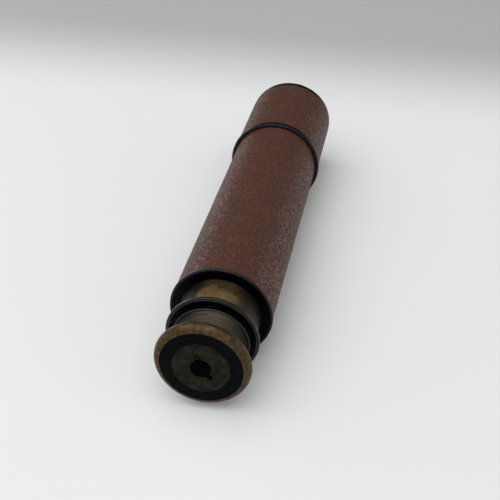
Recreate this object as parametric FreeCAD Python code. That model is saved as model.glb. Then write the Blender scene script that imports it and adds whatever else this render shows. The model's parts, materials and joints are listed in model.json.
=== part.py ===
"""A leather-covered brass draw telescope with two draws and a sliding sunshade.

Every turned piece is an outline of (station, radius) corners revolved about the optical
axis. A station is the distance in millimetres forward of the widest plane of the eye cup,
so it is negative on the face that the eye is put to and grows towards the objective.
The finished pieces are moved so that the optical axis runs along +Y, level, with the
lowest point of the telescope at Z = 0 and the middle of its length at Y = 0.

The telescope is modelled nearly closed: the large draw stands a little way out of the
body, the small draw a little way out of the large one, the sunshade is pushed home and
the eye shutter is open.
"""
import FreeCAD
import Part
import math
import os

V = FreeCAD.Vector

# ---------------------------------------------------------------- driving dimensions, mm
# Fits
RUN = 0.05                  # radial clearance of a sliding or turning fit
PLATE = 0.3                 # clearance between flat plates that pass each other

# Tubes: outer radius and wall
BODY_R = 28.0
BODY_WALL = 0.8
LARGE_DRAW_R = 23.0
SMALL_DRAW_R = 20.4
DRAW_WALL = 0.7
SHADE_R = 29.4
SHADE_WALL = 0.7

# Leather
BODY_LEATHER_R = 29.03
SHADE_LEATHER_R = 30.4

# Eye cup
FACE_STATION = -4.95        # the flat face the eye is put to
BEAD_R = 26.46              # widest radius of the eye cup
BEAD_ROUND = 4.26           # radius of the bead's rounded front
BEAD_BACK = 2.0             # radius of the bead's rounded back
NECK_START = 10.4           # where the cove under the bead runs into the neck
NECK_END = 19.0             # where the neck butts on the small draw tube
CUP_SCREW = 8.0             # length of the screwed spigot inside the draw tube

# Eye disc and its dust shutter
DISC_R = 15.9
DISC_THICKNESS = 1.2
EYE_HOLE_R = 5.8
PIVOT_REACH = 14.6          # pivot to optical axis, and pivot to knob
PIVOT_ANGLE = 28.1          # degrees from +X towards +Z, seen from the eye end
SHUTTER_HALF_SWING = 29.2   # degrees of knob travel each side of the optical axis
KNOB_R = 1.0
SLOT_HALF_WIDTH = 1.35
BLADE_R = 6.4
BLADE_THICKNESS = 0.6
SHUTTER_RECESS_DEPTH = 1.5

# Large draw collar
COLLAR_BACK = 18.0          # rear edge of its raised lip
COLLAR_FACE = 20.7          # its flat face
COLLAR_FRONT = 23.0
COLLAR_R = 26.2
LIP_R = 21.4

# Body and its collar
BODY_COLLAR_FACE = 42.5
BODY_COLLAR_R = 29.73
BODY_START = 44.0
BODY_END = 283.0
LEATHER_END = 220.0

# Sunshade
SHADE_RING_BACK = 217.8
SHADE_RING_R = 31.6
SHADE_START = 222.0
SHADE_END = 292.3
RIM_BACK = 288.2            # where the leather butts on the rim ring's apron
RIM_FRONT = 293.3
RIM_R = 30.2
MOUTH_R = 28.0
MOUTH_DEPTH = 5.0

# Front ends of the draws
LARGE_DRAW_END = 248.0
SMALL_DRAW_END = 210.0
GUIDE_LENGTH = 10.0         # length of the ring that guides each draw's front end

# Objective: a cemented pair about 385 mm in focal length
OBJECTIVE_R = 25.5
OBJECTIVE_BACK = 274.5      # rear, flat face of the flint lens
FLINT_MIDDLE = 3.5          # thickness on the axis
CROWN_MIDDLE = 7.5
OBJECTIVE_CURVE = 173.9     # radius of all three curved surfaces
OBJECTIVE_FLANGE_R = 28.35

# Erecting pair, 50 mm in focal length each, 55 mm apart
ERECTOR_TUBE_R = 16.0
ERECTOR_TUBE_START = 143.0
ERECTOR_LENS_R = 12.0
ERECTOR_CURVE = 25.85
ERECTOR_MIDDLE = 5.0
ERECTOR_STATIONS = (149.5, 204.5)
ERECTOR_STOP_STATION = 177.0
ERECTOR_STOP_R = 4.0

# Huygens eyepiece: 56 mm field lens and 28 mm eye lens, 42 mm apart
EYEPIECE_TUBE_R = 16.5
EYEPIECE_TUBE_START = 1.2
EYEPIECE_TUBE_END = 56.6
EYE_LENS_STATION = 10.6
EYE_LENS_R = 8.5
EYE_LENS_CURVE = 14.5
EYE_LENS_MIDDLE = 4.5
FIELD_LENS_STATION = 52.6
FIELD_LENS_R = 14.0
FIELD_LENS_CURVE = 28.95
FIELD_LENS_MIDDLE = 5.5
FIELD_STOP_STATION = 38.6
FIELD_STOP_R = 8.0
INNER_WALL = 0.7            # wall of the erector and eyepiece tubes
STOP_THICKNESS = 0.8

# ---------------------------------------------------------------- derived dimensions, mm
BODY_BORE = BODY_R - BODY_WALL
LARGE_DRAW_BORE = LARGE_DRAW_R - DRAW_WALL
SMALL_DRAW_BORE = SMALL_DRAW_R - DRAW_WALL
SHADE_BORE = SHADE_R - SHADE_WALL
ERECTOR_BORE = ERECTOR_TUBE_R - INNER_WALL
EYEPIECE_BORE = EYEPIECE_TUBE_R - INNER_WALL
DISC_BACK = FACE_STATION + DISC_THICKNESS
BLADE_BACK = DISC_BACK + PLATE
BLADE_FRONT = BLADE_BACK + BLADE_THICKNESS
RECESS_FLOOR = DISC_BACK + SHUTTER_RECESS_DEPTH
KNOB_TIP = FACE_STATION - 0.55
LENGTH = RIM_FRONT - KNOB_TIP
MIDDLE = (RIM_FRONT + KNOB_TIP) / 2
AXIS_HEIGHT = SHADE_RING_R


# ---------------------------------------------------------------- turning and placing
class Bend:
    """An arc in an outline, through `middle` to `end`, both (station, radius)."""

    def __init__(self, middle, end):
        self.middle = middle
        self.end = end


def round_corner(centre, radius, start, end):
    """An arc of an outline about `centre`, between two angles in degrees.

    Angle 0 points forward along the axis and 90 points away from it.
    """
    def point(angle):
        turn = math.radians(angle)
        return (centre[0] + radius * math.cos(turn), centre[1] + radius * math.sin(turn))

    return [point(start), Bend(point((start + end) / 2), point(end))]


def turned(outline):
    """Revolve a closed outline of (station, radius) corners and bends about the axis."""
    edges = []
    here = V(0, *outline[0])
    for step in outline[1:] + outline[:1]:
        if isinstance(step, Bend):
            there = V(0, *step.end)
            edges.append(Part.Arc(here, V(0, *step.middle), there).toShape())
        else:
            there = V(0, *step)
            if there.distanceToPoint(here) > 1e-6:
                edges.append(Part.makeLine(here, there))
        here = there
    return Part.Face(Part.Wire(edges)).revolve(V(0, 0, 0), V(0, 1, 0), 360)


def tube(start, end, bore, outer):
    """A plain tube between two stations."""
    return turned([(start, bore), (start, outer), (end, outer), (end, bore)])


def across(x, z, shape):
    """Move a piece made on the optical axis to (x, z) off it."""
    shape.translate(V(x, 0, z))
    return shape


def polar(centre, reach, angle):
    """The (x, z) point at `reach` from `centre`, at an angle seen from the eye end."""
    turn = math.radians(angle)
    return (centre[0] + reach * math.cos(turn), centre[1] + reach * math.sin(turn))


def rod(centre, radius, start, end):
    """A cylinder parallel to the optical axis."""
    return Part.makeCylinder(radius, end - start, V(centre[0], start, centre[1]), V(0, 1, 0))


def strip(here, there, width, start, end):
    """A flat bar between two (x, z) points, square to the optical axis."""
    dx, dz = there[0] - here[0], there[1] - here[1]
    reach = math.hypot(dx, dz)
    bar = Part.makeBox(reach, end - start, width, V(0, start, -width / 2))
    bar.rotate(V(0, 0, 0), V(0, -1, 0), math.degrees(math.atan2(dz, dx)))
    return across(here[0], here[1], bar)


def sag(curve, height):
    """Depth of a spherical surface of radius `curve` at a height from its axis."""
    return curve - math.sqrt(curve * curve - height * height)


def dome(vertex, curve, radius, outwards):
    """Half a lens surface, from the axis out to the rim, bulging along `outwards`."""
    def point(height):
        return (vertex - outwards * sag(curve, height), height)

    return [point(0.0), Bend(point(radius / 2), point(radius))]


def slit_bush(start, root, end, bore, screw_r, finger_r):
    """A spring bush: a screwed root, then thin fingers parted by four saw cuts."""
    bush = turned([(start, bore), (start, screw_r), (root, screw_r), (root, finger_r),
                   (end, finger_r), (end, bore)])
    cut_width = 0.8
    reach = screw_r + 1.0
    for turn in (0, 90):
        cut = Part.makeBox(2 * reach, end - root, cut_width,
                           V(-reach, root + cut_width, -cut_width / 2))
        cut.rotate(V(0, 0, 0), V(0, 1, 0), turn + 45)
        bush = bush.cut(cut)
    return bush


def stop_cup(station, outer, aperture, skirt):
    """A blackened stop: a thin plate with an aperture and a skirt that grips the tube."""
    wall = 0.6
    back = station - STOP_THICKNESS / 2
    front = station + STOP_THICKNESS / 2
    return turned([(back, aperture), (back, outer - wall), (back - skirt, outer - wall),
                   (back - skirt, outer), (front, outer), (front, aperture)])


def guide_ring(tube_end, tube_r, outer, web_bore):
    """The ring on a draw's front end that slides in the next larger tube."""
    web = 2.0
    return turned([(tube_end + web - GUIDE_LENGTH, tube_r),
                   (tube_end + web - GUIDE_LENGTH, outer),
                   (tube_end + web, outer), (tube_end + web, web_bore),
                   (tube_end, web_bore), (tube_end, tube_r)])


# ---------------------------------------------------------------- body
def body_collar():
    edge = 1.0
    skirt_end = BODY_START + 12.0
    bush_seat = BODY_START + 0.6
    bush_r = LARGE_DRAW_R + 1.6
    opening = LARGE_DRAW_R + PLATE
    corner = (BODY_COLLAR_FACE + edge, BODY_COLLAR_R - edge)
    return turned([(BODY_COLLAR_FACE, opening)] + round_corner(corner, edge, 180, 90)
                  + [(BODY_START, BODY_COLLAR_R), (BODY_START, BODY_BORE),
                     (skirt_end, BODY_BORE), (skirt_end, bush_r),
                     (bush_seat, bush_r), (bush_seat, opening)])


def body_spring_bush():
    root = BODY_START + 12.0
    return slit_bush(BODY_START + 0.6, root, root + 10.0,
                     LARGE_DRAW_R + RUN, LARGE_DRAW_R + 1.6, LARGE_DRAW_R + 0.9)


def objective_cell():
    shoulder = OBJECTIVE_BACK - 1.5
    skirt_start = BODY_END - 12.0
    front = BODY_END + 4.5
    edge = 0.4
    corner = (front - edge, OBJECTIVE_FLANGE_R - edge)
    return turned([(skirt_start, OBJECTIVE_R), (skirt_start, BODY_BORE),
                   (BODY_END, BODY_BORE), (BODY_END, OBJECTIVE_FLANGE_R)]
                  + round_corner(corner, edge, 90, 0)
                  + [(front, OBJECTIVE_R), (OBJECTIVE_BACK, OBJECTIVE_R),
                     (OBJECTIVE_BACK, OBJECTIVE_R - 1.0), (shoulder, OBJECTIVE_R - 1.0),
                     (shoulder, OBJECTIVE_R)])


def objective_flint_lens():
    front = dome(OBJECTIVE_BACK + FLINT_MIDDLE, OBJECTIVE_CURVE, OBJECTIVE_R, -1)
    return turned([(OBJECTIVE_BACK, 0.0)] + front + [(OBJECTIVE_BACK, OBJECTIVE_R)])


def objective_crown_lens():
    back_vertex = OBJECTIVE_BACK + FLINT_MIDDLE
    front_vertex = back_vertex + CROWN_MIDDLE
    back = dome(back_vertex, OBJECTIVE_CURVE, OBJECTIVE_R, -1)
    rim = front_vertex - sag(OBJECTIVE_CURVE, OBJECTIVE_R)
    half = front_vertex - sag(OBJECTIVE_CURVE, OBJECTIVE_R / 2)
    return turned(back + [(rim, OBJECTIVE_R), Bend((half, OBJECTIVE_R / 2), (front_vertex, 0.0))])


def objective_retaining_ring():
    front_vertex = OBJECTIVE_BACK + FLINT_MIDDLE + CROWN_MIDDLE
    hold = OBJECTIVE_R - 0.9

    def seat(height):
        return (front_vertex - sag(OBJECTIVE_CURVE, height), height)

    outer_seat, inner_seat = seat(OBJECTIVE_R), seat(hold)
    front = outer_seat[0] + 2.2
    ring = turned([outer_seat, Bend(seat(OBJECTIVE_R - 0.45), inner_seat),
                   (front, hold), (front, OBJECTIVE_R)])
    key_slot = Part.makeBox(2 * OBJECTIVE_R, 1.0, 1.4, V(-OBJECTIVE_R, front - 1.0, -0.7))
    return ring.cut(key_slot)


# ---------------------------------------------------------------- sunshade
def sunshade_rear_ring():
    counterbore = BODY_LEATHER_R + 0.67
    web = LEATHER_END + 0.4
    bead = 1.5
    front_bead = 0.9
    back_centre = (SHADE_RING_BACK + bead, SHADE_RING_R - bead)
    front_centre = (SHADE_START - front_bead, SHADE_RING_R - front_bead)
    return turned([(SHADE_RING_BACK, counterbore)] + round_corner(back_centre, bead, 180, 90)
                  + round_corner(front_centre, front_bead, 90, 0)
                  + [(SHADE_START, SHADE_BORE), (SHADE_START + 3.0, SHADE_BORE),
                     (SHADE_START + 3.0, BODY_R + RUN), (web, BODY_R + RUN),
                     (web, counterbore)])


def sunshade_front_rim():
    """A ring folded over the shade tube's mouth: a skirt inside it, an apron outside."""
    edge = 0.9
    corner = (RIM_FRONT - edge, RIM_R - edge)
    return turned([(RIM_FRONT - MOUTH_DEPTH, MOUTH_R), (RIM_FRONT - MOUTH_DEPTH, SHADE_BORE),
                   (SHADE_END, SHADE_BORE), (SHADE_END, SHADE_R), (RIM_BACK, SHADE_R),
                   (RIM_BACK, RIM_R)]
                  + round_corner(corner, edge, 90, 0) + [(RIM_FRONT, MOUTH_R)])


# ---------------------------------------------------------------- large draw
def large_draw_collar():
    edge = 0.9
    fillet = 0.5
    lip_edge = 0.3
    front_edge = 0.5
    groove = 0.15
    groove_r = COLLAR_R - edge - 2 * groove
    tube_seat = COLLAR_FRONT - 0.6
    skirt_end = tube_seat + 9.6
    opening = SMALL_DRAW_R + PLATE + RUN
    bush_r = SMALL_DRAW_R + 1.2
    front_centre = (COLLAR_FRONT - front_edge, COLLAR_R - front_edge)
    back_centre = (COLLAR_FACE + edge, COLLAR_R - edge)
    hollow_centre = (COLLAR_FACE - fillet, LIP_R + fillet)
    lip_centre = (COLLAR_BACK + lip_edge, LIP_R - lip_edge)
    return turned([(COLLAR_FRONT, LARGE_DRAW_R)] + round_corner(front_centre, front_edge, 0, 90)
                  + round_corner(back_centre, edge, 90, 180)
                  + [(COLLAR_FACE, groove_r + groove), (COLLAR_FACE + groove, groove_r),
                     (COLLAR_FACE, groove_r - groove)]
                  + round_corner(hollow_centre, fillet, 0, -90)
                  + round_corner(lip_centre, lip_edge, 90, 180)
                  + [(COLLAR_BACK, opening), (tube_seat, opening), (tube_seat, bush_r),
                     (skirt_end, bush_r), (skirt_end, LARGE_DRAW_BORE),
                     (tube_seat, LARGE_DRAW_BORE), (tube_seat, LARGE_DRAW_R)])


def large_draw_spring_bush():
    start = COLLAR_FRONT - 0.6
    root = start + 9.6
    return slit_bush(start, root, root + 10.0,
                     SMALL_DRAW_R + RUN, SMALL_DRAW_R + 1.2, SMALL_DRAW_R + 0.8)


# ---------------------------------------------------------------- small draw and optics
def erector_tube():
    seat = SMALL_DRAW_END + 2.0
    flange = seat + 1.5
    return turned([(ERECTOR_TUBE_START, ERECTOR_BORE), (ERECTOR_TUBE_START, ERECTOR_TUBE_R),
                   (seat, ERECTOR_TUBE_R), (seat, ERECTOR_TUBE_R + 2.5),
                   (flange, ERECTOR_TUBE_R + 2.5), (flange, ERECTOR_BORE)])


def lens_cell(seat, rim, lens_r, outer, grip, front=0.0):
    """A turned cell: a clear opening behind the lens at `seat`, then a bore that holds it.

    The lens's cylindrical edge ends at `rim`, where the cell is burnished over it.
    """
    lip = 0.8
    return turned([(seat - grip, lens_r - lip), (seat - grip, outer),
                   (rim + front + lip, outer), (rim + front + lip, lens_r),
                   (seat, lens_r), (seat, lens_r - lip)])


def planoconvex(flat, middle, curve, radius):
    """A lens with its flat face at station `flat` and its bulge towards the objective."""
    vertex = flat + middle
    rim = vertex - sag(curve, radius)
    half = vertex - sag(curve, radius / 2)
    return turned([(flat, 0.0), (flat, radius), (rim, radius),
                   Bend((half, radius / 2), (vertex, 0.0))])


def erector_flat(station):
    """Station of an erector lens's flat face, for a lens centred at `station`."""
    return station - ERECTOR_MIDDLE / 2


def erector_lens(station):
    return planoconvex(erector_flat(station), ERECTOR_MIDDLE, ERECTOR_CURVE, ERECTOR_LENS_R)


def erector_cell(station):
    flat = erector_flat(station)
    rim = flat + ERECTOR_MIDDLE - sag(ERECTOR_CURVE, ERECTOR_LENS_R)
    return lens_cell(flat, rim, ERECTOR_LENS_R, ERECTOR_BORE, 2.0, front=1.0)


def field_lens_flat():
    return FIELD_LENS_STATION - FIELD_LENS_MIDDLE / 2


def field_lens_cell():
    flat = field_lens_flat()
    rim = flat + FIELD_LENS_MIDDLE - sag(FIELD_LENS_CURVE, FIELD_LENS_R)
    body = lens_cell(flat, rim, FIELD_LENS_R, EYEPIECE_BORE, 1.6)
    flange_end = EYEPIECE_TUBE_END + 1.5
    flange = turned([(rim, FIELD_LENS_R + 0.6), (rim, EYEPIECE_BORE),
                     (EYEPIECE_TUBE_END, EYEPIECE_BORE), (EYEPIECE_TUBE_END, EYEPIECE_TUBE_R),
                     (flange_end, EYEPIECE_TUBE_R), (flange_end, FIELD_LENS_R + 0.6)])
    return body.fuse(flange).removeSplitter()


def eye_lens_flat():
    return EYE_LENS_STATION - EYE_LENS_MIDDLE / 2


def eye_lens_cell():
    flat = eye_lens_flat()
    rim = flat + EYE_LENS_MIDDLE - sag(EYE_LENS_CURVE, EYE_LENS_R)
    grip = flat - EYEPIECE_TUBE_START
    return lens_cell(flat, rim, EYE_LENS_R, EYEPIECE_BORE, grip, front=2.0)


def eye_cup():
    bead_centre = (0.0, BEAD_R - BEAD_ROUND)
    back_centre = (0.0, BEAD_R - BEAD_BACK)
    rise = BEAD_R - BEAD_BACK - SMALL_DRAW_R
    run = NECK_START - BEAD_BACK
    cove = (run * run + rise * rise) / (2 * rise)
    cove_end = 270 - math.degrees(math.asin(run / cove))
    recess_r = 2 * PIVOT_REACH * math.sin(math.radians(SHUTTER_HALF_SWING)) + BLADE_R + PLATE
    spigot_end = NECK_END + CUP_SCREW
    return turned([(FACE_STATION, DISC_R)]
                  + round_corner(bead_centre, BEAD_ROUND, 180, 90)
                  + round_corner(back_centre, BEAD_BACK, 90, 0)
                  + round_corner((NECK_START, SMALL_DRAW_R + cove), cove, cove_end, 270)
                  + [(NECK_END, SMALL_DRAW_R), (NECK_END, SMALL_DRAW_BORE),
                     (spigot_end, SMALL_DRAW_BORE), (spigot_end, EYEPIECE_TUBE_R),
                     (RECESS_FLOOR, EYEPIECE_TUBE_R), (RECESS_FLOOR, recess_r),
                     (DISC_BACK, recess_r), (DISC_BACK, DISC_R)])


# ---------------------------------------------------------------- eye disc and shutter
PIVOT = polar((0.0, 0.0), PIVOT_REACH, PIVOT_ANGLE)
TO_AXIS = PIVOT_ANGLE + 180                      # direction from the pivot to the eye hole
KNOB_REST = TO_AXIS - SHUTTER_HALF_SWING         # knob direction when the eye hole is open
BLADE_REST = TO_AXIS - 2 * SHUTTER_HALF_SWING    # blade direction then
PIN_R = 0.8


def knob_slot():
    """The arc slot that the shutter's knob runs in, cut right through the disc."""
    start = TO_AXIS - SHUTTER_HALF_SWING
    end = TO_AXIS + SHUTTER_HALF_SWING
    inner = PIVOT_REACH - SLOT_HALF_WIDTH
    outer = PIVOT_REACH + SLOT_HALF_WIDTH

    def point(reach, angle):
        x, z = polar(PIVOT, reach, angle)
        return V(x, FACE_STATION - 1, z)

    def cap_point(angle, sign):
        x, z = polar(polar(PIVOT, PIVOT_REACH, angle), SLOT_HALF_WIDTH, angle + sign * 90)
        return V(x, FACE_STATION - 1, z)

    edges = [
        Part.Arc(point(outer, start), point(outer, TO_AXIS), point(outer, end)).toShape(),
        Part.Arc(point(outer, end), cap_point(end, 1), point(inner, end)).toShape(),
        Part.Arc(point(inner, end), point(inner, TO_AXIS), point(inner, start)).toShape(),
        Part.Arc(point(inner, start), cap_point(start, -1), point(outer, start)).toShape(),
    ]
    return Part.Face(Part.Wire(edges)).extrude(V(0, DISC_THICKNESS + 2, 0))


def eye_disc():
    bevel = 0.25
    eased = 0.15
    disc = turned([(FACE_STATION, 0.0), (FACE_STATION, DISC_R - bevel),
                   (FACE_STATION + bevel, DISC_R), (DISC_BACK, DISC_R), (DISC_BACK, 0.0)])
    hole = rod((0.0, 0.0), EYE_HOLE_R, FACE_STATION - 1, DISC_BACK + 1)
    rivet_hole = rod(PIVOT, PIN_R, FACE_STATION - 1, DISC_BACK + 1)
    disc = disc.cut(hole).cut(knob_slot())
    face = min(disc.Faces, key=lambda part: part.CenterOfMass.y)
    rims = [wire for wire in face.Wires if not wire.isSame(face.OuterWire)]
    disc = disc.makeChamfer(eased, [edge for wire in rims for edge in wire.Edges])
    return disc.cut(rivet_hole)


def shutter_pivot_pin():
    head_r = 1.3
    head = 0.3
    tail = BLADE_FRONT + PLATE
    pin = turned([(FACE_STATION - head, 0.0), (FACE_STATION - head, head_r - 0.4),
                  Bend((FACE_STATION - 0.22, head_r - 0.15), (FACE_STATION, head_r)),
                  (FACE_STATION, PIN_R), (tail, PIN_R), (tail, head_r),
                  (tail + 0.25, head_r), (tail + 0.25, 0.0)])
    return across(PIVOT[0], PIVOT[1], pin)


def eye_shutter():
    boss_r = 2.2
    lug_r = 1.5
    arm_width = 4.0
    rivet_r = 0.6
    blade_centre = polar(PIVOT, PIVOT_REACH, BLADE_REST)
    knob_centre = polar(PIVOT, PIVOT_REACH, KNOB_REST)
    blade = rod(blade_centre, BLADE_R, BLADE_BACK, BLADE_FRONT)
    blade = blade.fuse(rod(PIVOT, boss_r, BLADE_BACK, BLADE_FRONT))
    blade = blade.fuse(rod(knob_centre, lug_r, BLADE_BACK, BLADE_FRONT))
    blade = blade.fuse(strip(PIVOT, blade_centre, arm_width, BLADE_BACK, BLADE_FRONT))
    blade = blade.fuse(strip(blade_centre, knob_centre, 2 * lug_r, BLADE_BACK, BLADE_FRONT))
    blade = blade.removeSplitter()
    blade = blade.cut(rod(PIVOT, PIN_R + RUN, BLADE_BACK - 1, BLADE_FRONT + 1))
    return blade.cut(rod(knob_centre, rivet_r, BLADE_BACK - 1, BLADE_FRONT + 1))


def shutter_knob():
    rivet_r = 0.6
    edge = 0.45
    centre = polar(PIVOT, PIVOT_REACH, KNOB_REST)
    corner = (KNOB_TIP + edge, KNOB_R - edge)
    knob = turned([(KNOB_TIP, 0.0)] + round_corner(corner, edge, 180, 90)
                  + [(BLADE_BACK, KNOB_R), (BLADE_BACK, rivet_r),
                     (BLADE_FRONT, rivet_r), (BLADE_FRONT, 0.0)])
    return across(centre[0], centre[1], knob)


# ---------------------------------------------------------------- the assembly
def all_pieces():
    erector_rear, erector_front = ERECTOR_STATIONS
    return {
        "body_tube": tube(BODY_START, BODY_END, BODY_BORE, BODY_R),
        "body_leather": tube(BODY_START, LEATHER_END, BODY_R, BODY_LEATHER_R),
        "body_collar": body_collar(),
        "body_spring_bush": body_spring_bush(),
        "objective_cell": objective_cell(),
        "objective_crown_lens": objective_crown_lens(),
        "objective_flint_lens": objective_flint_lens(),
        "objective_retaining_ring": objective_retaining_ring(),
        "sunshade_tube": tube(SHADE_START, SHADE_END, SHADE_BORE, SHADE_R),
        "sunshade_leather": tube(SHADE_START, RIM_BACK, SHADE_R, SHADE_LEATHER_R),
        "sunshade_rear_ring": sunshade_rear_ring(),
        "sunshade_front_rim": sunshade_front_rim(),
        "large_draw_tube": tube(COLLAR_FRONT - 0.6, LARGE_DRAW_END,
                                LARGE_DRAW_BORE, LARGE_DRAW_R),
        "large_draw_collar": large_draw_collar(),
        "large_draw_spring_bush": large_draw_spring_bush(),
        "large_draw_guide_ring": guide_ring(LARGE_DRAW_END, LARGE_DRAW_R,
                                            BODY_BORE - RUN, LARGE_DRAW_BORE - 0.7),
        "large_draw_stop": stop_cup(LARGE_DRAW_END - 0.4, LARGE_DRAW_BORE, 14.0, 5.0),
        "small_draw_tube": tube(NECK_END, SMALL_DRAW_END, SMALL_DRAW_BORE, SMALL_DRAW_R),
        "small_draw_guide_ring": guide_ring(SMALL_DRAW_END, SMALL_DRAW_R,
                                            LARGE_DRAW_BORE - RUN, ERECTOR_TUBE_R),
        "erector_tube": erector_tube(),
        "erector_front_cell": erector_cell(erector_front),
        "erector_front_lens": erector_lens(erector_front),
        "erector_stop": stop_cup(ERECTOR_STOP_STATION, ERECTOR_BORE, ERECTOR_STOP_R, 4.0),
        "erector_rear_cell": erector_cell(erector_rear),
        "erector_rear_lens": erector_lens(erector_rear),
        "eyepiece_tube": tube(EYEPIECE_TUBE_START, EYEPIECE_TUBE_END,
                              EYEPIECE_BORE, EYEPIECE_TUBE_R),
        "field_lens_cell": field_lens_cell(),
        "field_lens": planoconvex(field_lens_flat(), FIELD_LENS_MIDDLE,
                                  FIELD_LENS_CURVE, FIELD_LENS_R),
        "field_stop": stop_cup(FIELD_STOP_STATION, EYEPIECE_BORE, FIELD_STOP_R, 4.0),
        "eye_lens_cell": eye_lens_cell(),
        "eye_lens": planoconvex(eye_lens_flat(), EYE_LENS_MIDDLE, EYE_LENS_CURVE, EYE_LENS_R),
        "eye_cup": eye_cup(),
        "eye_disc": eye_disc(),
        "shutter_pivot_pin": shutter_pivot_pin(),
        "eye_shutter": eye_shutter(),
        "shutter_knob": shutter_knob(),
    }


def main():
    os.makedirs("parts", exist_ok=True)
    for name, shape in all_pieces().items():
        shape.translate(V(0, -MIDDLE, AXIS_HEIGHT))
        shape.exportStep(f"parts/{name}.step")
        print(f"{name:26s} {shape.Volume:10.1f} mm3  solids {len(shape.Solids)}"
              f"  valid {shape.isValid()}")
    print(f"length {LENGTH:.2f} mm, axis height {AXIS_HEIGHT:.2f} mm, middle {MIDDLE:.3f}")


main()
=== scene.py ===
"""Looks for a leather-covered brass draw telescope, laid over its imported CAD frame.

The telescope lies along +Y on a pale floor. Its tubes, disc, shutter, lenses and inner
fittings are the CAD nodes with better materials. The two leather covers, the eye
cup and the four turned rings are rebuilt here in finer mesh, each in the space of the
node it stands for.

A turned piece is an outline of (forward, radius) corners in millimetres, revolved about
the optical axis. Forward is measured from the rear end of the node it stands for.
"""

import json
import math

import bpy
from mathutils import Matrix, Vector, noise


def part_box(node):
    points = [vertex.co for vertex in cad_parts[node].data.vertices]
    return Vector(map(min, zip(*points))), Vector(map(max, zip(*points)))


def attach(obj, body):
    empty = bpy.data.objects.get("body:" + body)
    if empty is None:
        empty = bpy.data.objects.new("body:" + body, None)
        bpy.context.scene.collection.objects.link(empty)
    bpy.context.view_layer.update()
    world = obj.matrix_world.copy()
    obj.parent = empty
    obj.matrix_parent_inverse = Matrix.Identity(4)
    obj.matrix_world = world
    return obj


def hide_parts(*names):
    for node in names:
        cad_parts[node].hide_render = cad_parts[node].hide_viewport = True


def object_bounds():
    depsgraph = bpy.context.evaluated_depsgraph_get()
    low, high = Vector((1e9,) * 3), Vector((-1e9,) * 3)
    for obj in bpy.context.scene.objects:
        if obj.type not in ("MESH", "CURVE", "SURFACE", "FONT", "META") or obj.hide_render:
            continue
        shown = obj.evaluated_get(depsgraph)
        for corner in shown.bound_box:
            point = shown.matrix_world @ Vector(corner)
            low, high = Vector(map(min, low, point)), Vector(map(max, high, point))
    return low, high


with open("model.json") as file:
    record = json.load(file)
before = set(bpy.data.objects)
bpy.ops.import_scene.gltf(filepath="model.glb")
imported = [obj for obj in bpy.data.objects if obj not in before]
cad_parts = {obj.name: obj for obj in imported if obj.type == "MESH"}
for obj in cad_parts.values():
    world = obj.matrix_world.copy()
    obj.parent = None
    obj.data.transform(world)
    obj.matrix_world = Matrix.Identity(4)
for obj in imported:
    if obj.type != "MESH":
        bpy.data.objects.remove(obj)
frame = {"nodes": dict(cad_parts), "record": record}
cad_low, cad_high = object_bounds()

# Vector noise starts from the clock unless it is seeded
noise.seed_set(7)

MM = 0.001
TURN = 2 * math.pi

# The optical axis runs along +Y, in the middle of the widest ring
AXIS_HEIGHT = (cad_low.z + cad_high.z) / 2
BODY_OF = {node: name for name, nodes in frame["record"]["behaviour"]["bodies"].items()
           for node in nodes}
SLOT_OF = {part["node"]: part["material_slot"] for part in frame["record"]["subparts"]}

# Places in mm, along the axis from the middle of the telescope
CUP_FACE = -4.95            # the cup's face, from its widest plane
CUP_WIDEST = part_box("eye_cup")[0].y / MM - CUP_FACE
COLLAR_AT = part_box("body_collar")[0].y / MM
PIN_PLACE = (12.88, 6.88)   # the shutter's pivot, right of and above the axis

# Radii in mm, for patterns that run round the tubes
DRAW_RADIUS = 23.0          # the large draw's; the small draw is narrower
HIDE_RADIUS = 29.5
CUP_FACE_RADIUS = 23.0      # the blackened part of the cup's face
DISC_RING = (6.4, 6.9, 7.3, 8.0)
# Radii in mm of the painted highlight round the pivot pin
PIN_HIGHLIGHT_RING = (0.9, 1.2, 1.35, 1.6)

# A shift in mm that takes a pattern clean off a tube
CLEAR_OFF = 400.0

# The floor rises slightly towards the eye end, and touches the sunshade's rear ring
FLOOR_REACH = 3.0
FLOOR_TOUCHES_AT = 0.0754
FLOOR_SLOPE = 0.00925

# The room's light, and the direction of the dark gap in it
ROOM_LIGHT = 0.78
ROOM_GAP_LIGHT = 0.14
ROOM_GAP = (0.12, 0.81, 0.57)
ROOM_GAP_EDGE = (0.56, 0.74)    # cosines of its angle, from outside to inside

# The camera, over the eye end
CAMERA_AT = (0.0937, -0.4909, 0.3473)
CAMERA_TOWARDS = (-0.1602, 0.8106, -0.5633)
CAMERA_LENS = 65.3
CAMERA_SENSOR = 36.0
CAMERA_NEAREST = 0.01

# Turned rings
RING_SIDES = 288
LONGEST_STEP = 0.7          # mm between points along an outline
CORNER_SUPPORT = 0.06       # mm from a corner to the next point
WEAR_REACH = 0.25           # mm over which rubbing dies away beside a corner
ARC_STEPS = 5               # steps round a rounded corner
MOST_RUBBED = 0.4           # mm, the largest rounding that is rubbed fully bright
SHARP = math.radians(32)    # edges that turn further than this stay crisp

# Leather sleeves
SLEEVE_SIDES = 318
SLEEVE_ROW = 0.6            # mm between rows of points
SLEEVE_END_ROUND = 0.25     # mm
PEBBLE_HEIGHT = 0.09        # mm from a crease to a pebble's top
SLEEVE_FADE = 1.2           # mm over which the grain dies away at an end
SEAM_ANGLE = -math.pi / 2   # the butt seam runs along the underside
SEAM_WIDTH = 0.45           # mm to each side
SEAM_DEPTH = 0.3

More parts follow.
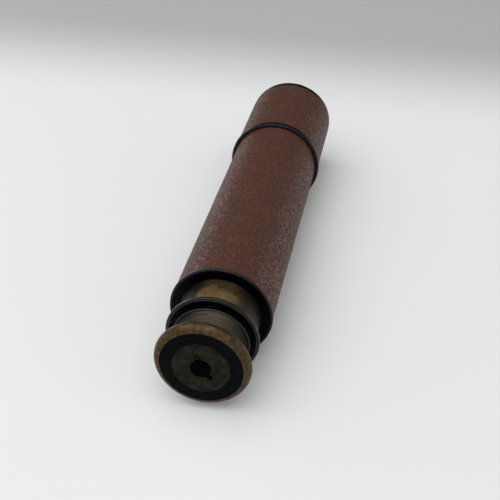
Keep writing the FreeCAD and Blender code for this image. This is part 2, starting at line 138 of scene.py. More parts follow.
# Colours, linear
HIDE_DARK = (0.088, 0.037, 0.027)
HIDE_LIGHT = (0.13, 0.048, 0.035)
HIDE_SCUFFED = (0.14, 0.07, 0.052)
# The crease colour is partly painted shade
HIDE_CREASE_AND_SHADE = (0.07, 0.032, 0.023)
BRASS_GOLD = (0.5, 0.34, 0.15)
BRASS_BROWN = (0.33, 0.21, 0.09)
# These two also stand for painted shade on the large draw, on its sides and by the body's collar
BRASS_OLIVE_AND_SHADE = (0.036, 0.028, 0.016)
BRASS_STAIN_AND_SHADE = (0.006, 0.0036, 0.0024)
BEAD_GOLD = (0.115, 0.08, 0.04)
BEAD_BROWN = (0.05, 0.035, 0.017)
BEAD_BRIGHT = (0.17, 0.12, 0.06)
# The neck's colours also paint light on its top, and shade on its sides and in its cove
NECK_MOTTLE_AND_SHADE = (0.018, 0.016, 0.011)
NECK_LIT_TOP = (0.14, 0.122, 0.085)
FACE_BLACK = (0.0006, 0.0007, 0.0008)
# Painted sheen on the turned grooves of the cup's face
FACE_GROOVE_SHEEN = (0.007, 0.0075, 0.0082)
BRONZE_DARK = (0.009, 0.0085, 0.0068)
BRONZE_LIGHT = (0.027, 0.025, 0.019)
BRONZE_BROWN = (0.013, 0.009, 0.006)
# A painted highlight round the pivot pin
BRONZE_PIN_HIGHLIGHT = (0.065, 0.059, 0.047)
LACQUER_DARK = (0.003, 0.003, 0.003)
LACQUER_DUSTY = (0.009, 0.009, 0.009)
LACQUER_RUBBED = (0.12, 0.1, 0.07)
BUSH_GOLD = (0.52, 0.38, 0.18)
BUSH_BROWN = (0.33, 0.22, 0.1)
BLACK_DEEP = (0.002, 0.002, 0.0023)
BLACK_SOFT = (0.006, 0.006, 0.0064)
# Grey of rubbed black corners: partly wear, partly painted highlight
BLACK_RUBBED_AND_HIGHLIGHT = (0.05, 0.049, 0.052)
RIM_DARK = (0.03, 0.022, 0.015)
RIM_LIGHT = (0.042, 0.033, 0.022)
RIM_RUBBED = (0.055, 0.045, 0.032)
GLASS_CLEAR = (0.97, 0.98, 0.98)
GLASS_WARM = (0.93, 0.93, 0.88)
FLOOR_NEAR = (0.8, 0.81, 0.81)
# Painted shade far from the telescope
FLOOR_FAR_SHADED = (0.45, 0.455, 0.455)


# ---------------------------------------------------------------- turned meshes
def span(node):
    """Rear end in metres, length and outer radius in mm of a turned node."""
    low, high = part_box(node)
    return low.y, (high.y - low.y) / MM, (high.x - low.x) / 2 / MM


def rounded(corners):
    """Points (forward, radius, wear) of a closed outline with its corners rounded off.

    Each corner is (forward, radius, rounding). Wear is highest, 1, on crisp outward
    corners, which hands rub bright, and 0 on inward ones. The outline runs clockwise,
    forward to the right.
    """
    points = []
    count = len(corners)
    for index, (x, y, rounding) in enumerate(corners):
        before = Vector(corners[index - 1][:2]) - Vector((x, y))
        after = Vector(corners[(index + 1) % count][:2]) - Vector((x, y))
        turn = before.x * after.y - before.y * after.x
        if rounding == 0:
            points.append((x, y, 0.0))
            continue
        outward = min(MOST_RUBBED / rounding, 1.0) if turn > 0 else 0.0
        before.normalize()
        after.normalize()
        half = before.angle(after) / 2
        reach = rounding / math.tan(half)
        centre = Vector((x, y)) + (before + after).normalized() * rounding / math.sin(half)
        first = Vector((x, y)) + before * reach - centre
        last = Vector((x, y)) + after * reach - centre
        for step in range(ARC_STEPS + 1):
            arm = first.slerp(last, step / ARC_STEPS) * rounding
            points.append((centre.x + arm.x, centre.y + arm.y, outward))
    return points


def divided(outline):
    """The outline with its long steps cut up, finely at their ends to keep corners crisp."""
    points = []
    for here, there in zip(outline, outline[1:] + outline[:1]):
        points.append(here)
        length = math.dist(here[:2], there[:2])
        if length < 4 * CORNER_SUPPORT:
            continue
        inner = length - 2 * CORNER_SUPPORT
        cuts = max(1, math.ceil(inner / LONGEST_STEP))
        for cut in range(cuts + 1):
            gone = CORNER_SUPPORT + inner * cut / cuts
            wear = max(here[2] * (1 - gone / WEAR_REACH),
                       there[2] * (1 - (length - gone) / WEAR_REACH), 0.0)
            points.append((here[0] + (there[0] - here[0]) * gone / length,
                           here[1] + (there[1] - here[1]) * gone / length, wear))
    return points


def outward_normals(outline):
    """The outline's outward direction (forward, radial) at each point."""
    normals = []
    count = len(outline)
    for index in range(count):
        ahead = outline[(index + 1) % count]
        behind = outline[index - 1]
        normals.append(Vector((behind[1] - ahead[1], ahead[0] - behind[0])).normalized())
    return normals


def revolve(name, outline, rear, angles, relief):
    """A closed turned mesh from (forward, radius, wear) points.

    relief(forward, radius, angle, wear) gives how far a point stands proud, in mm, and
    how rubbed it is, from 0 to 1, which the mesh keeps as an attribute.
    """
    points, rubbed = [], []
    for (forward, radius, wear), normal in zip(outline, outward_normals(outline)):
        for angle in angles:
            proud, rub = relief(forward, radius, angle, wear)
            rubbed.append(rub)
            height = (radius + normal.y * proud) * MM
            points.append((height * math.cos(angle), rear + (forward + normal.x * proud) * MM,
                           AXIS_HEIGHT + height * math.sin(angle)))
    rows, columns = len(outline), len(angles)
    faces = []
    for row in range(rows):
        here, there = row * columns, (row + 1) % rows * columns
        for column in range(columns):
            aside = (column + 1) % columns
            faces.append((here + column, there + column, there + aside, here + aside))
    mesh = bpy.data.meshes.new(name)
    mesh.from_pydata(points, [], faces)
    mesh.attributes.new("rubbed", "FLOAT", "POINT").data.foreach_set("value", rubbed)
    mesh.shade_smooth()
    mesh.set_sharp_from_angle(angle=SHARP)
    piece = bpy.data.objects.new(name, mesh)
    bpy.context.scene.collection.objects.link(piece)
    return piece


def stand_for(piece, node, material):
    """The piece takes the node's place: its body and a material."""
    piece.data.materials.append(material)
    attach(piece, BODY_OF[node])
    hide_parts(node)


def turned_ring(node, corners, material, dents=()):
    """Stand a ring turned from rounded corners in a node's place, with faint unevenness.

    A dent is (angle in degrees, forward, radius, width, depth).
    """
    rear = span(node)[0]
    seed = sum(map(ord, node))

    def relief(forward, radius, angle, wear):
        round_place = Vector((radius * math.cos(angle), radius * math.sin(angle), forward))
        uneven = -abs(noise.noise(round_place * 0.22 + Vector((seed, 0, 0))))
        proud = (0.008 + 0.035 * wear) * uneven
        for at, dent_forward, dent_radius, width, depth in dents:
            turn = math.radians(at)
            dent = Vector((dent_radius * math.cos(turn), dent_radius * math.sin(turn),
                           dent_forward))
            proud -= depth * math.exp(-((round_place - dent).length / width) ** 2)
        return proud, wear

    angles = [TURN * side / RING_SIDES for side in range(RING_SIDES)]
    piece = revolve(node + "_turned", divided(rounded(corners)), rear, angles, relief)
    stand_for(piece, node, material)


# ---------------------------------------------------------------- leather sleeves
def grain(around, along):
    """Height in mm and polish from 0 to 1 of pebbled hide, at a place in mm on its surface.

    The pebbles are longer round the tube than along it, and those of one row lean over.
    """
    place = Vector((around * 0.3, along * 0.45 + around * 0.04, 0.0))
    bent = place + 0.3 * noise.noise_vector(place * 0.9)
    nearest, next_nearest = noise.voronoi(bent)[0][:2]
    pebble = min((next_nearest - nearest) / 0.55, 1.0)
    wave = 0.06 * noise.noise(place * 0.25)
    return wave + PEBBLE_HEIGHT * (pebble - 0.6), pebble


def sleeve(node, tube, material):
    """A leather cover with pebbled grain, rounded ends and a butt seam underneath."""
    rear, length, radius = span(node)
    bore = span(tube)[2]
    seed = sum(map(ord, node))
    first, last = SLEEVE_END_ROUND, length - SLEEVE_END_ROUND
    rows = round((last - first) / SLEEVE_ROW)
    between = [(first + (last - first) * row / rows, radius, 0.0) for row in range(1, rows)]
    ends = rounded([(0.0, bore, 0.0), (0.0, radius, SLEEVE_END_ROUND),
                    (length, radius, SLEEVE_END_ROUND), (length, bore, 0.0)])
    outline = ends[:len(ends) // 2] + between + ends[len(ends) // 2:]
    seam = [SEAM_ANGLE + step * SEAM_WIDTH / 2 / radius for step in (-2, -1, 0, 1, 2)]
    plain = [SEAM_ANGLE + TURN * side / SLEEVE_SIDES for side in range(2, SLEEVE_SIDES - 1)]

    def relief(forward, height, angle, wear):
        edge = min(forward, length - forward)
        if edge <= 0:
            return 0.0, 0.0
        from_seam = (angle - SEAM_ANGLE) % TURN
        height, polish = grain(from_seam * radius, forward + seed)
        groove = SEAM_DEPTH * max(0.0, 1 - min(from_seam, TURN - from_seam) * radius / SEAM_WIDTH)
        return (height - groove) * min(edge / SLEEVE_FADE, 1.0), polish

    piece = revolve(node + "_hide", outline, rear, seam + plain, relief)
    stand_for(piece, node, material)


# ---------------------------------------------------------------- materials
class Graph:
    """A material's nodes, built by short calls that give output sockets."""

    def __init__(self, name):
        self.material = bpy.data.materials.new(name)
        self.material.use_nodes = True
        self.tree = self.material.node_tree
        self.shader = self.tree.nodes["Principled BSDF"]
        own_place = self.node("ShaderNodeTexCoord").outputs["Object"]
        from_axis = self.vector("SUBTRACT", own_place, (0.0, 0.0, AXIS_HEIGHT))
        self.place = self.vector("SCALE", from_axis, scale=1 / MM)
        self.x, self.along, self.z = self.split(self.place)
        self.radius = self.distance(0.0, 0.0)
        self.angle = self.math("ARCTAN2", self.x, self.z)

    def node(self, kind, **settings):
        made = self.tree.nodes.new(kind)
        for name, value in settings.items():
            setattr(made, name, value)
        return made

    def plug(self, socket, value):
        if isinstance(value, bpy.types.NodeSocket):
            self.tree.links.new(value, socket)
        elif isinstance(value, tuple) and socket.type == "RGBA" and len(value) == 3:
            socket.default_value = (*value, 1.0)
        else:
            socket.default_value = value

    def vector(self, operation, first, second=None, scale=None):
        made = self.node("ShaderNodeVectorMath", operation=operation)
        self.plug(made.inputs[0], first)
        if second is not None:
            self.plug(made.inputs[1], second)
        if scale is not None:
            self.plug(made.inputs["Scale"], scale)
        return made.outputs[0]

    def split(self, vector):
        made = self.node("ShaderNodeSeparateXYZ")
        self.plug(made.inputs[0], vector)
        return made.outputs[0], made.outputs[1], made.outputs[2]

    def join(self, x, y, z):
        made = self.node("ShaderNodeCombineXYZ")
        for socket, value in zip(made.inputs, (x, y, z)):
            self.plug(socket, value)
        return made.outputs[0]

    def math(self, operation, first, second=None):
        made = self.node("ShaderNodeMath", operation=operation)
        self.plug(made.inputs[0], first)
        if second is not None:
            self.plug(made.inputs[1], second)
        return made.outputs[0]

    def distance(self, x, z):
        """Distance in mm from a line along the tube, at x and z from the optical axis."""
        across = self.math("POWER", self.math("SUBTRACT", self.x, x), 2.0)
        up = self.math("POWER", self.math("SUBTRACT", self.z, z), 2.0)
        return self.math("SQRT", self.math("ADD", across, up))

    def band(self, value, low, high, start=0.0, end=1.0):
        """A smooth rise from start to end as the value goes from low to high."""
        made = self.node("ShaderNodeMapRange", interpolation_type="SMOOTHSTEP")
        for socket, number in zip(made.inputs, (value, low, high, start, end)):
            self.plug(socket, number)
        return made.outputs[0]

    def ring(self, value, edges):
        """1 between the two middle edges, and 0 outside the outer two."""
        inner, full, fading, outer = edges
        return self.math("MULTIPLY", self.band(value, inner, full), self.band(value, outer, fading))

    def noise(self, scale, detail=3.0, roughness=0.55, vector=None):
        """Cloudy noise whose features are about 1 / scale mm across."""
        made = self.node("ShaderNodeTexNoise")
        self.plug(made.inputs["Vector"], self.place if vector is None else vector)
        for name, value in (("Scale", scale), ("Detail", detail), ("Roughness", roughness)):
            self.plug(made.inputs[name], value)
        return made.outputs["Fac"]

    def cell_edges(self, vector):
        """Distance to the edge of a cell, for cells about 1 unit of the vector across."""
        made = self.node("ShaderNodeTexVoronoi", feature="DISTANCE_TO_EDGE")
        self.plug(made.inputs["Vector"], vector)
        self.plug(made.inputs["Scale"], 1.0)
        return made.outputs["Distance"]

    def mix(self, factor, first, second):
        made = self.node("ShaderNodeMix", data_type="RGBA")
        self.plug(made.inputs["Factor"], factor)
        colours = [socket for socket in made.inputs if socket.type == "RGBA"]
        for socket, value in zip(colours, (first, second)):
            self.plug(socket, value)
        return next(socket for socket in made.outputs if socket.type == "RGBA")

    def rubbed(self):
        """How rubbed a turned mesh is: the corners of rings, the pebbles of leather."""
        made = self.node("ShaderNodeAttribute", attribute_name="rubbed")
        return made.outputs["Fac"]

    def finish(self, colour, roughness, height, metallic=None, **fixed):
        """Join the parts to the shader. Height is the bump in mm."""
        self.plug(self.shader.inputs["Base Color"], colour)
        self.plug(self.shader.inputs["Roughness"], roughness)
        if metallic is not None:
            self.plug(self.shader.inputs["Metallic"], metallic)
        for name, value in fixed.items():
            self.shader.inputs[name.replace("_", " ")].default_value = value
        bump = self.node("ShaderNodeBump")
        bump.inputs["Distance"].default_value = MM
        self.plug(bump.inputs["Height"], height)
        self.plug(self.shader.inputs["Normal"], bump.outputs["Normal"])
        return self.material


def leather():
    """Reddish-brown hide, waxed and rubbed on its pebbles, matt and darker in its creases, partly
    its own colour there and partly painted shade.

    Its fine wrinkles are about 3 mm long round the tube and 1.4 mm apart along it.
    """
    graph = Graph("leather")
    bend = graph.noise(0.5, 2.0)
    around = graph.math("MULTIPLY", graph.angle, HIDE_RADIUS * 0.33)
    along = graph.math("MULTIPLY", graph.along, 0.74)
    wrinkled = graph.join(graph.math("ADD", around, bend), graph.math("SUBTRACT", along, bend), 0.0)
    wrinkles = graph.band(graph.cell_edges(wrinkled), 0.04, 0.34)
    tops = graph.math("MULTIPLY", wrinkles, graph.band(graph.rubbed(), 0.0, 0.5, 0.4, 1.0))
    pores = graph.noise(2.2, 4.0, 0.6)
    patches = graph.noise(0.07, 3.0)
    blotches = graph.noise(0.45, 3.0, 0.6)
    hide_colour = graph.mix(graph.band(patches, 0.35, 0.68), HIDE_DARK, HIDE_LIGHT)
    scuffed = graph.math("MULTIPLY", graph.band(blotches, 0.5, 0.75), 0.2)
    scuffed_colour = graph.mix(scuffed, hide_colour, HIDE_SCUFFED)
    # Darker creases: partly the hide's own colour, partly painted shade in them
    colour = graph.mix(tops, HIDE_CREASE_AND_SHADE, scuffed_colour)
    polished = graph.math("MULTIPLY", tops, graph.band(pores, 0.3, 0.6, 0.4, 1.0))
    graph.plug(graph.shader.inputs["Specular IOR Level"],
               graph.band(polished, 0.0, 0.9, 0.03, 0.6))
    roughness = graph.band(polished, 0.0, 1.0, 0.45, 0.26)
    height = graph.math("ADD", graph.math("MULTIPLY", wrinkles, 0.15),
                        graph.math("MULTIPLY", pores, 0.06))
    return graph.finish(colour, roughness, height)


def turned_metal(name, dark, light, bare, rough, patina_metal=1.0, scale=0.4):
    """Patinated metal with tool marks, and bare metal where a corner is rubbed.

    Returns its graph and its parts, for a material that adds something to them.
    """
    graph = Graph(name)
    clouds = graph.noise(scale, 5.0, 0.6)
    specks = graph.noise(2.5, 3.0, 0.6)
    across = graph.join(graph.math("MULTIPLY", graph.radius, 2.2),
                        graph.math("MULTIPLY", graph.along, 2.2), 0.0)
    marks = graph.noise(1.0, 3.0, 0.7, across)
    patina = graph.mix(graph.band(clouds, 0.3, 0.7), dark, light)
    worn = graph.math("MULTIPLY", graph.rubbed(), graph.band(clouds, 0.2, 0.6, 0.5, 1.0))
    colour = graph.mix(worn, patina, bare)
    low, high = rough
    roughness = graph.math("SUBTRACT", graph.band(specks, 0.3, 0.7, low, high),
                           graph.math("MULTIPLY", worn, 0.1))
    height = graph.math("ADD", graph.math("MULTIPLY", marks, 0.03),
                        graph.math("MULTIPLY", specks, 0.01))
    metallic = graph.math("ADD", graph.math("MULTIPLY", worn, 1 - patina_metal), patina_metal)
    return graph, colour, roughness, height, metallic


def draw_brass():
    """Drawn brass gone brown, with rubbed lines along it.

    The large draw's eye end is darker on its two sides, which is painted shade, and has a ring
    round it where it meets the body's collar, partly stained and partly painted shade.
    """
    graph = Graph("draw_brass")
    around = graph.math("MULTIPLY", graph.angle, DRAW_RADIUS)
    lengthwise = graph.join(graph.math("MULTIPLY", around, 3.0),
                            graph.math("MULTIPLY", graph.along, 0.12), 0.0)
    crosswise = graph.join(graph.math("MULTIPLY", around, 0.15),
                           graph.math("MULTIPLY", graph.along, 4.0), 0.0)
    scratches = graph.noise(1.0, 4.0, 0.65, lengthwise)
    rings = graph.noise(1.0, 3.0, 0.6, crosswise)
    clouds = graph.noise(0.16, 4.0, 0.6)
    golden = graph.mix(graph.band(clouds, 0.35, 0.65), BRASS_BROWN, BRASS_GOLD)
    past_collar = graph.math("SUBTRACT", graph.along, COLLAR_AT)
    smaller = graph.band(graph.radius, DRAW_RADIUS - 0.5, DRAW_RADIUS - 1.5, 0.0, CLEAR_OFF)
    inward = graph.math("SUBTRACT", past_collar, smaller)
    exposed = graph.math("MULTIPLY", graph.band(inward, -60.0, -50.0),
                         graph.band(inward, 14.0, 1.0))
    # Painted shade: the large draw's eye end is darkened down its right and left sides
    painted_shade_right = graph.math("MULTIPLY", exposed, graph.band(graph.x, 6.0, 17.0))
    painted_shade_left = graph.math("MULTIPLY", exposed, graph.band(graph.x, -4.0, -12.0))
    olive = graph.mix(painted_shade_right, golden, BRASS_OLIVE_AND_SHADE)
    sides_shaded = graph.mix(painted_shade_left, olive, BRASS_STAIN_AND_SHADE)
    # By the body's collar: a ragged dark ring, partly stained and partly painted shade, and a
    # browner halo beyond it, partly painted shade
    border = graph.noise(0.22, 4.0, 0.6)
    streaky = graph.math("ADD", graph.math("MULTIPLY", border, 18.0),
                         graph.math("MULTIPLY", scratches, 4.0))
    ragged = graph.math("ADD", inward, streaky)
    collar_stain_and_shade = graph.math("MULTIPLY", graph.band(ragged, 2.0, 5.5), graph.band(ragged, 24.0, 13.0))
    collar_halo_and_shade = graph.math("MULTIPLY", graph.band(ragged, -1.0, 5.0),
                      graph.band(ragged, 50.0, 20.0, 0.0, 0.45))
    browned = graph.mix(collar_halo_and_shade, sides_shaded, BRASS_OLIVE_AND_SHADE)
    colour = graph.mix(graph.math("MULTIPLY", collar_stain_and_shade, 0.85), browned, BRASS_STAIN_AND_SHADE)
    dulled = graph.math("MAXIMUM", collar_stain_and_shade, graph.math("MAXIMUM", painted_shade_left, painted_shade_right))
    roughness = graph.math("ADD", graph.band(scratches, 0.3, 0.7, 0.22, 0.34),
                           graph.math("MULTIPLY", dulled, 0.22))
    height = graph.math("ADD", graph.math("MULTIPLY", scratches, 0.008),
                        graph.math("MULTIPLY", rings, 0.008))
    metallic = graph.band(graph.math("MAXIMUM", collar_stain_and_shade, painted_shade_left), 0.0, 1.0, 0.85, 0.2)
    return graph.finish(colour, roughness, height, metallic, Specular_IOR_Level=0.1)


def cup_brass():
    """Handled brass: a worn, mottled golden bead, an olive neck with painted light along its top
    and painted shade on its sides, and a blackened face.
    """
    graph, colour, roughness, height, metallic = turned_metal(
        "cup_brass", BEAD_BROWN, BEAD_GOLD, BEAD_BRIGHT, (0.36, 0.5))
    forward = graph.math("SUBTRACT", graph.along, CUP_WIDEST)
    ragged = graph.noise(0.8, 4.0, 0.6)
    neck = graph.band(graph.math("ADD", forward, ragged), 2.4, 4.2)
    round_neck = graph.join(graph.math("MULTIPLY", graph.along, 4.0),
                            graph.math("MULTIPLY", graph.angle, 1.5), 0.0)
    brushed = graph.noise(1.0, 3.0, 0.7, round_neck)
    # Painted light and shade: the neck is lighter along its top and darker down its sides
    from_top = graph.math("ABSOLUTE", graph.math("SUBTRACT", graph.x, 3.0))
    lit_top_brushed = graph.math("MULTIPLY", graph.band(brushed, 0.3, 0.7),
                         graph.band(from_top, 17.0, 3.0))
    olive = graph.mix(lit_top_brushed, NECK_MOTTLE_AND_SHADE, NECK_LIT_TOP)
    # Painted shade in the cove beside the bead
    shade = graph.band(forward, 3.2, 1.2)
    mottled = graph.mix(graph.band(ragged, 0.5, 0.62, 0.0, 0.65), colour, NECK_MOTTLE_AND_SHADE)
    with_neck = graph.mix(neck, mottled, olive)
    with_shade = graph.mix(graph.math("MULTIPLY", shade, graph.band(forward, 1.0, 2.4)),
                           with_neck, NECK_MOTTLE_AND_SHADE)
    edge = graph.math("ADD", graph.radius, graph.math("MULTIPLY", ragged, 0.5))
    face = graph.math("MULTIPLY", graph.band(edge, CUP_FACE_RADIUS, CUP_FACE_RADIUS - 0.2),
                      graph.band(forward, -3.0, -3.3))
    # The face's lighter turning rings are painted sheen on its turned grooves
    outward = graph.join(graph.math("MULTIPLY", graph.radius, 2.2), 0.0, 0.0)
    turning = graph.noise(1.0, 2.0, 0.8, outward)
    black = graph.mix(graph.band(turning, 0.42, 0.6), FACE_BLACK, FACE_GROOVE_SHEEN)
    face_colour = graph.mix(face, with_shade, black)
    lines = graph.math("ADD", graph.math("MULTIPLY", turning, face),
                       graph.math("MULTIPLY", brushed, neck))
    relief = graph.math("ADD", height, graph.math("MULTIPLY", lines, 0.05))
    duller = graph.math("ADD", roughness, graph.math("MULTIPLY", face, 0.25))
    dull = graph.math("MAXIMUM", neck, face)
    graph.plug(graph.shader.inputs["Specular IOR Level"], graph.band(dull, 0.0, 1.0, 0.5, 0.02))
    bare = graph.math("SUBTRACT", metallic, graph.math("MULTIPLY", dull, 0.8))
    return graph.finish(face_colour, duller, relief, bare)


def disc_bronze():
    """Dull bronze-grey patina with brown patches, ringed round the eye hole, with a painted
    highlight ringed round the pin.
    """
    graph, colour, roughness, height, metallic = turned_metal(
        "disc_bronze", BRONZE_DARK, BRONZE_LIGHT, BRONZE_LIGHT, (0.34, 0.5), scale=0.3)
    faint = graph.math("MULTIPLY", graph.ring(graph.radius, DISC_RING), 0.4)
    patches = graph.math("MULTIPLY", graph.band(graph.noise(0.22, 3.0), 0.48, 0.62), 0.5)
    spotted = graph.mix(patches, colour, BRONZE_BROWN)
    ringed = graph.mix(faint, spotted, BRONZE_BROWN)
    # A painted highlight ringed round the shutter's pivot pin
    pin_highlight = graph.math("MULTIPLY", graph.ring(graph.distance(*PIN_PLACE), PIN_HIGHLIGHT_RING), 0.4)
    with_pin_highlight = graph.mix(pin_highlight, ringed, BRONZE_PIN_HIGHLIGHT)
    return graph.finish(with_pin_highlight, roughness, height, metallic)


def inner_black():
    """Dead black lacquer over turned brass, dusty and faintly ringed."""
    graph, colour, roughness, height, metallic = turned_metal(
        "inner_black", LACQUER_DARK, LACQUER_DUSTY, LACQUER_RUBBED, (0.5, 0.7), 0.1)
    return graph.finish(colour, roughness, height, metallic)


def bush_brass():
    """Bare turned brass with darker patches."""
    graph, colour, roughness, height, metallic = turned_metal(
        "bush_brass", BUSH_BROWN, BUSH_GOLD, BUSH_GOLD, (0.26, 0.42))
    return graph.finish(colour, roughness, height, metallic)


def blackened_brass():
    """Black chemical finish, grey on its corners: partly rubbed, partly a painted highlight."""
    graph, colour, roughness, height, metallic = turned_metal(
        "blackened_brass", BLACK_DEEP, BLACK_SOFT, BLACK_RUBBED_AND_HIGHLIGHT, (0.3, 0.46))
    # Rubbed corners lose their metal, so their grey, partly painted highlight, shows from every
    # side
    dusty = graph.math("SUBTRACT", metallic, graph.math("MULTIPLY", graph.rubbed(), 0.6))
    return graph.finish(colour, roughness, height, dusty)


def rim_brass():
    """Dark olive-brown tarnish, rubbed on its front edge."""
    graph, colour, roughness, height, metallic = turned_metal(
        "rim_brass", RIM_DARK, RIM_LIGHT, RIM_RUBBED, (0.34, 0.5))
    return graph.finish(colour, roughness, height, metallic)


def optical_glass():
    """Clear glass, a little warmer and dustier towards the edge."""
    graph = Graph("optical_glass")
    dust = graph.noise(0.5, 3.0)
    edge = graph.math("MULTIPLY", graph.band(graph.radius, 15.0, 26.0), graph.band(dust, 0.3, 0.7))
    colour = graph.mix(edge, GLASS_CLEAR, GLASS_WARM)
    return graph.finish(colour, graph.band(dust, 0.3, 0.7, 0.0, 0.04),
                        graph.math("MULTIPLY", dust, 0.0001), Transmission_Weight=1.0, IOR=1.52)


# ---------------------------------------------------------------- pieces
def arc(centre, radius, start, end, steps=10):
    """Corners on an arc between two angles in degrees. 0 is forward and 90 outward."""
    turns = [math.radians(start + (end - start) * step / steps) for step in range(steps + 1)]
    return [(centre[0] + radius * math.cos(turn), centre[1] + radius * math.sin(turn), 0.0)
            for turn in turns]


def eye_cup(material):
    """The cup: a blackened face, a bead, a cove and the neck that holds the draw tube."""
    disc = span("eye_disc")[2]
    neck = span("small_draw_tube")[2]
    widest = span("eye_cup")[2]
    face_at, front_round, back_round = CUP_FACE, 4.26, 2.0
    cove_end, neck_end, spigot_end = 10.4, 19.0, 27.0
    bore, spigot, recess = 16.5, neck - 0.7, 20.94
    rise, run = widest - back_round - neck, cove_end - back_round
    cove = (run * run + rise * rise) / (2 * rise)
    cove_start = 270 - math.degrees(math.asin(run / cove))
    step = 0.14             # between the bead and the blackened face
    corners = ([(face_at + 1.2, disc, 0.0), (face_at, disc, 0.12),
                (step - front_round, widest - front_round, 0.05),
                (-front_round, widest - front_round + 0.02, 0.05)]
               + arc((0.0, widest - front_round), front_round, 176, 90, 16)
               + arc((0.0, widest - back_round), back_round, 84, 6)
               + arc((cove_end, neck + cove), cove, cove_start, 270)
               + [(neck_end, neck, 0.1), (neck_end, spigot, 0.0), (spigot_end, spigot, 0.0),
                  (spigot_end, bore, 0.0), (face_at + 2.7, bore, 0.0),
                  (face_at + 2.7, recess, 0.0), (face_at + 1.2, recess, 0.0)])
    from_rear = [(forward - face_at, radius, round_) for forward, radius, round_ in corners]
    nick = (52.0, -face_at - 4.0, 22.9, 0.55, 0.35)
    knocks = [(angle, -face_at + forward, widest - 0.6, 1.1, 0.07)
              for angle, forward in ((18, -1.0), (77, 0.5), (133, -1.5), (201, 0.0),
                                     (254, -0.8), (309, 0.4), (345, -2.0))]
    turned_ring("eye_cup", from_rear, material, [nick] + knocks)


def body_collar(material):
    """The black ring that the leather butts on, open round the large draw."""
    length, widest = span("body_collar")[1:]
    opening, screw, seat = 23.3, 27.2, 24.6
    turned_ring("body_collar", [
        (0.0, opening, 0.0), (0.0, widest, 0.9), (1.5, widest, 0.12), (1.5, screw, 0.0),
        (length, screw, 0.0), (length, seat, 0.0), (2.1, seat, 0.0), (2.1, opening, 0.0),
    ], material)


def large_draw_collar(material):
    """The large draw's flanged collar, with a groove near its rim and a raised lip."""
    length, widest = span("large_draw_collar")[1:]
    tube = span("large_draw_tube")[2]
    opening, lip, flange, groove = 20.75, 21.4, 2.7, 25.0
    bore, bush = tube - 0.7, 21.6
    turned_ring("large_draw_collar", [
        (0.0, opening, 0.1), (0.0, lip, 0.3), (flange, lip, 0.5),
        (flange, groove - 0.15, 0.05), (flange + 0.15, groove, 0.0),
        (flange, groove + 0.15, 0.05), (flange, widest, 0.8), (5.0, widest, 0.8),
        (5.0, tube, 0.0), (4.4, tube, 0.0), (4.4, bore, 0.0), (length, bore, 0.0),
        (length, bush, 0.0), (4.4, bush, 0.0), (4.4, opening, 0.0),
    ], material)


def sunshade_rear_ring(material):
    """The bead at the back of the sunshade, which slides over the leather."""
    length, widest = span("sunshade_rear_ring")[1:]
    counterbore, body = 29.7, span("body_tube")[2] + 0.05
    shade_bore = span("sunshade_tube")[2] - 0.7
    turned_ring("sunshade_rear_ring", [
        (0.0, counterbore, 0.15), (0.0, widest, 1.5), (4.2, widest, 0.9),
        (4.2, shade_bore, 0.0), (length, shade_bore, 0.0), (length, body, 0.0),
        (2.6, body, 0.0), (2.6, counterbore, 0.0),
    ], material)


def sunshade_front_rim(material):
    """The ring folded over the sunshade's mouth."""
    length, widest = span("sunshade_front_rim")[1:]
    tube = span("sunshade_tube")[2]
    mouth = 28.0
    turned_ring("sunshade_front_rim", [
        (0.1, mouth, 0.0), (0.1, tube - 0.7, 0.0), (4.1, tube - 0.7, 0.0), (4.1, tube, 0.0),
        (0.0, tube, 0.0), (0.0, widest, 0.15), (length, widest, 0.9), (length, mouth, 0.3),
    ], material)


# ---------------------------------------------------------------- the studio
def floor():
    """A pale plane under the telescope, level to within a degree, darker far away: painted shade.
    """
    mesh = bpy.data.meshes.new("floor")
    sides = [(-1, -1), (1, -1), (1, 1), (-1, 1)]
    mesh.from_pydata([(x * FLOOR_REACH, y * FLOOR_REACH,
                       (FLOOR_TOUCHES_AT - y * FLOOR_REACH) * FLOOR_SLOPE) for x, y in sides],
                     [], [(0, 1, 2, 3)])
    plane = bpy.data.objects.new("floor", mesh)
    bpy.context.scene.collection.objects.link(plane)
    graph = Graph("floor")
    # Painted shade: the floor darkens far from the telescope, where less light would fall
    away = graph.band(graph.along, 220.0, 430.0)
    colour = graph.mix(away, FLOOR_NEAR, FLOOR_FAR_SHADED)
    height = graph.math("MULTIPLY", graph.noise(0.2), 0.01)
    mesh.materials.append(graph.finish(colour, 0.6, height, Specular_IOR_Level=0.2))


def softbox(name, place, aim, size, power):
    """A rectangular area light at one place, pointed at another."""
    data = bpy.data.lights.new(name, "AREA")
    data.shape = "RECTANGLE"
    data.size, data.size_y = size
    data.energy = power
    light = bpy.data.objects.new(name, data)
    light.location = place
    light.rotation_euler = (Vector(aim) - Vector(place)).to_track_quat("-Z", "Y").to_euler()
    light.visible_camera = False
    bpy.context.scene.collection.objects.link(light)


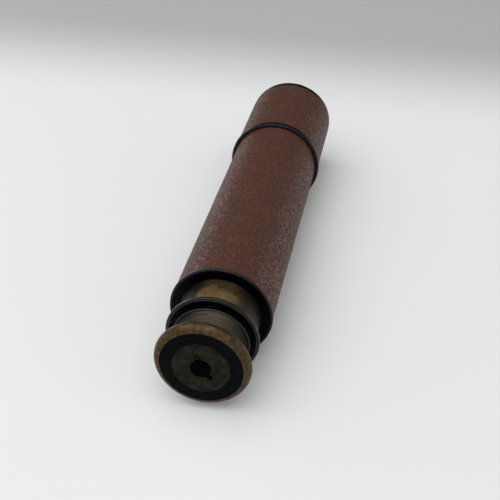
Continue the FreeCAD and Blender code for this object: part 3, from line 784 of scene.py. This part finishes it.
def room():
    """Even white light from all round, except for a dark gap high up behind the telescope."""
    world = bpy.data.worlds.new("room")
    world.use_nodes = True
    nodes, links = world.node_tree.nodes, world.node_tree.links
    towards = nodes.new("ShaderNodeVectorMath")
    towards.operation = "DOT_PRODUCT"
    towards.inputs[1].default_value = ROOM_GAP
    links.new(nodes.new("ShaderNodeTexCoord").outputs["Generated"], towards.inputs[0])
    fade = nodes.new("ShaderNodeMapRange")
    fade.interpolation_type = "SMOOTHSTEP"
    for socket, number in zip(fade.inputs[1:5], (*ROOM_GAP_EDGE, ROOM_LIGHT, ROOM_GAP_LIGHT)):
        socket.default_value = number
    links.new(towards.outputs["Value"], fade.inputs[0])
    background = nodes["Background"]
    background.inputs["Color"].default_value = (1.0, 1.0, 1.0, 1.0)
    links.new(fade.outputs[0], background.inputs["Strength"])
    bpy.context.scene.world = world


def studio():
    """Plain soft light, and a camera over the eye end."""
    softbox("overhead", (-0.25, -0.25, 1.3), (0.0, 0.0, 0.0), (2.0, 2.0), 15.0)
    softbox("left", (-1.1, 1.2, 0.16), (0.0, 0.05, 0.03), (0.7, 0.3), 1.4)
    softbox("right", (1.1, 1.2, 0.16), (0.0, 0.05, 0.03), (0.7, 0.3), 1.2)
    room()

    bpy.context.scene.view_settings.view_transform = "Standard"

    lens = bpy.data.cameras.new("camera")
    lens.lens = CAMERA_LENS
    lens.sensor_width = CAMERA_SENSOR
    lens.clip_start = CAMERA_NEAREST
    camera = bpy.data.objects.new("camera", lens)
    camera.location = CAMERA_AT
    camera.rotation_euler = Vector(CAMERA_TOWARDS).to_track_quat("-Z", "Y").to_euler()
    bpy.context.scene.collection.objects.link(camera)
    bpy.context.scene.camera = camera


def main():
    """Give every node its material, build the finer pieces, then the floor and lights."""
    finishes = {
        "leather": leather(),
        "blackened_brass": blackened_brass(),
        "rim_brass": rim_brass(),
        "draw_brass": draw_brass(),
        "cup_brass": cup_brass(),
        "disc_bronze": disc_bronze(),
        "inner_black": inner_black(),
        "bush_brass": bush_brass(),
        "optical_glass": optical_glass(),
    }
    for node, piece in frame["nodes"].items():
        for place in piece.material_slots:
            place.material = finishes[SLOT_OF[node]]
    sleeve("body_leather", "body_tube", finishes["leather"])
    sleeve("sunshade_leather", "sunshade_tube", finishes["leather"])
    eye_cup(finishes["cup_brass"])
    body_collar(finishes["blackened_brass"])
    large_draw_collar(finishes["blackened_brass"])
    sunshade_rear_ring(finishes["blackened_brass"])
    sunshade_front_rim(finishes["rim_brass"])
    floor()
    studio()


main()
